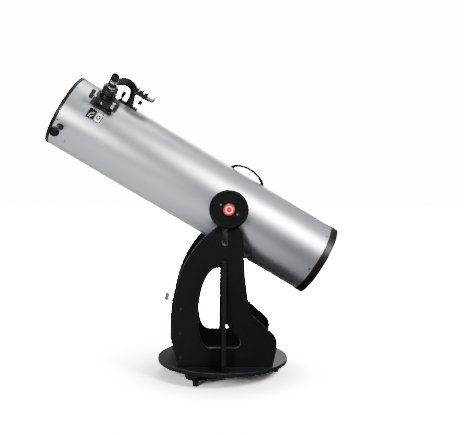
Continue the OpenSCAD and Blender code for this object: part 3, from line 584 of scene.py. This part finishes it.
def block_ring(inner, outer, low, high, chamfer=0.3):
    """The profile of a flat ring with its outer edges chamfered."""
    return [(inner, low), (outer - chamfer, low), (outer, low + chamfer), (outer, high - chamfer),
            (outer - chamfer, high), (inner, high)]


def dome(radius, low, rise, steps=8, rim=0.3, axis_gap=0.02):
    """A closed half profile: flat below, a rim, crowned above, with a tiny hole at the axis."""
    top = [(max(axis_gap, radius * (1 - i / steps)), low + rim + rise * (1 - (1 - i / steps) ** 2))
           for i in range(steps + 1)]
    return [(axis_gap, low), (radius, low)] + top


def ribbon(name, flat_points, width, body, slot, material, lift, thick=0.15):
    """A printed line on the tube's curved wall, through points (along, around) from the label's middle."""
    rings = []
    for i, (u, v) in enumerate(flat_points):
        before = flat_points[max(i - 1, 0)]
        after = flat_points[min(i + 1, len(flat_points) - 1)]
        way = Vector((after[0] - before[0], after[1] - before[1])).normalized()
        side = Vector((-way.y, way.x)) * width / 2
        ring = []
        for sign, height in ((-1, lift), (1, lift), (1, lift + thick), (-1, lift + thick)):
            a, b = u + sign * side.x, v + sign * side.y
            angle = math.radians(LABEL_ANGLE) + b * MM / LABEL_RADIUS
            reach = LABEL_RADIUS + height * MM
            ring.append(TUBE @ Vector((LABEL.x + a * MM, reach * math.cos(angle), reach * math.sin(angle))))
        rings.append(ring)
    last = (len(rings) - 1) * 4
    faces = loops(rings, False) + [(0, 1, 2, 3), (last, last + 1, last + 2, last + 3)]
    return solid(name, [v for ring in rings for v in ring], faces, body, slot, material)


def coil(name, places, wire, body, slot, around=8, per_turn=20):
    """Helical springs, each along its own axis: (matrix, mean radius, low, high, turns) in metres."""
    vertices, faces = [], []
    for matrix, radius, low, high, turns in places:
        rings = []
        steps = turns * per_turn
        for i in range(steps + 1):
            share = i / steps
            angle = 2 * math.pi * turns * share
            height = low + wire / 2 + (high - low - wire) * share
            out = Vector((math.cos(angle), math.sin(angle), 0.0))
            ring = []
            for k in range(around):
                b = 2 * math.pi * k / around
                rise = Vector((0, 0, height + wire / 2 * math.sin(b)))
                ring.append(matrix @ (out * (radius + wire / 2 * math.cos(b)) + rise))
            rings.append(ring)
        start = len(vertices)
        vertices += [v for ring in rings for v in ring]
        last = (len(rings) - 1) * around
        ends = [tuple(range(around)), tuple(range(last, last + around))]
        faces += [tuple(start + k for k in face) for face in loops(rings, False) + ends]
    return solid(name, vertices, faces, body, slot)


def badge_emblems():
    """A plain pale ring and dot on each badge, and its thin bright rim."""
    low, high = extents("bearing_caps", TUBE)
    radius = (high.z - low.z) / 2 / MM
    for side, angle, reach in (("near", 0, high.y), ("far", 180, -low.y)):
        face = reach / MM
        place = radial(angle)
        lathe(f"badge_rim_{side}", place, block_ring(radius - 1.6, radius - 0.2, face - 2.6, face - 1.1),
              "tube_assembly", "bright_metal", segments=96)
        lathe(f"badge_ring_{side}", place, block_ring(radius * 0.5, radius * 0.64, face - 1.6, face - 0.1),
              "tube_assembly", "label", segments=72)
        lathe(f"badge_dot_{side}", place, dome(radius * 0.14, face - 0.6, 0.3), "tube_assembly", "label",
              segments=32)


def focuser_bands():
    """Bright rings, knurls and the eyepiece's glass, each measured down from its own part's top."""
    tops = {node: extents(node, FOCUSER)[1].z / MM
            for node in ("eyepiece", "eyepiece_adapter", "drawtube", "focuser_body")}
    top = tops["eyepiece"]
    lathe("eyepiece_band", FOCUSER, block_ring(19.55, 20.7, top - 25.4, top - 17), "eyepiece", "bright_metal")
    lathe("eyepiece_band_top", FOCUSER, block_ring(19.55, 20.1, top - 14.5, top - 12.5), "eyepiece",
          "bright_metal")
    lathe("eyepiece_grip", FOCUSER, block_ring(20.55, 21.1, top - 42, top - 28), "eyepiece", "rubber_black",
          segments=216, flutes=36, depth=0.5)
    lathe("eyepiece_lens", FOCUSER, dome(11.8, top - 2.9, 1.2), "eyepiece", "mirror_glass", "lens",
          segments=48)
    top = tops["eyepiece_adapter"]
    lathe("adapter_band", FOCUSER, block_ring(22.05, 22.9, top - 6.6, top - 0.6), "adapter", "bright_metal")
    top = tops["drawtube"]
    low, high = extents("drawtube", FOCUSER)
    flange_r = (high.x - low.x) / 2 / MM
    lathe("flange_knurl", FOCUSER, block_ring(flange_r + 0.04, flange_r + 0.6, top - 20, top - 15),
          "drawtube", "anodised_black", segments=360, flutes=60, depth=0.5)
    top = tops["focuser_body"]
    lathe("collar_ribs", FOCUSER, block_ring(37.05, 38.2, top - 36, top - 15), "tube_assembly",
          "anodised_black", segments=288, flutes=36, depth=1.0)


SPRING_WIRE = 0.0018
SPRING_TURNS = 5
NEAR_ONE_SPRING = 0.03


def spring_coils():
    """The mirror cell's springs as wire coils, in place of their plain sleeves."""
    low, high = extents("collimation_springs", TUBE)
    inverse = TUBE.inverted()
    points = [inverse @ v.co for v in NODES["collimation_springs"].data.vertices]
    places = []
    for joint in ("collimation_turn_1", "collimation_turn_2", "collimation_turn_3"):
        centre = inverse @ Vector(JOINTS[joint]["pos_m"])
        reaches = [math.hypot(p.y - centre.y, p.z - centre.z) for p in points]
        outer = max(reach for reach in reaches if reach < NEAR_ONE_SPRING)
        axis = TUBE @ shift(0.0, centre.y, centre.z) @ turn(90, "Y")
        places.append((axis, outer - SPRING_WIRE / 2, low.x, high.x, SPRING_TURNS))
    piece = coil("spring_coils", places, SPRING_WIRE, "tube_assembly", "bright_metal")
    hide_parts("collimation_springs")


def arc_points(centre, radii, start, end, steps):
    """Points along an ellipse's arc between two angles in degrees."""
    angles = [math.radians(start + (end - start) * i / steps) for i in range(steps + 1)]
    return [(centre[0] + radii[0] * math.cos(a), centre[1] + radii[1] * math.sin(a)) for a in angles]


# Height of the print over the label: its black half, and the lines that lie on top
GROUND_LIFT, LINE_LIFT = 0.1, 0.3


def label_pattern():
    """A plain printed pattern: pale arcs on the black half, a dark ring in a dark frame on the pale half."""
    low, high = extents("label_plate", radial(LABEL_ANGLE))
    half_u, half_v = (high.x - low.x) / 2 / MM, (high.y - low.y) / 2 / MM
    dark = ("tube_assembly", "label", "print_black")
    pale = ("tube_assembly", "label", "label")

    # Points close enough across the label for a ribbon to follow the tube's curve
    steps = 16
    across = [(i / steps - 0.5) * (2 * half_v - 1) for i in range(steps + 1)]
    ribbon("label_dark_half", [(half_u / 2, v) for v in across], half_u - 0.8, *dark, lift=GROUND_LIFT)

    frame_width, margin, inner_u = 5.0, 3.0, -2.5
    outer_u, frame_v = -half_u + margin, half_v - margin
    for number, u in enumerate((outer_u, inner_u)):
        side = [(u, v * frame_v / half_v) for v in across]
        ribbon(f"label_frame_side_{number}", side, frame_width, *dark, lift=LINE_LIFT)
    for number, v in enumerate((-frame_v, frame_v)):
        end = [(outer_u, v), (inner_u, v)]
        ribbon(f"label_frame_end_{number}", end, frame_width, *dark, lift=LINE_LIFT)

    ring = arc_points(((outer_u + inner_u) / 2, 0.0), (7.5, 8.5), 0, 360, 40)
    ribbon("label_ring", ring, 7.0, *dark, lift=LINE_LIFT)
    for number, reach in enumerate((15, 26)):
        arc = arc_points((2, -half_v + margin), (reach, reach * 1.3), 10, 80, 20)
        ribbon(f"label_arc_{number}", arc, 1.5, *pale, lift=LINE_LIFT)


make_camera()
make_world()
make_lights()
make_floor()
MATS = make_materials()
dress_nodes(MATS)

badge_emblems()
focuser_bands()
spring_coils()
label_pattern()
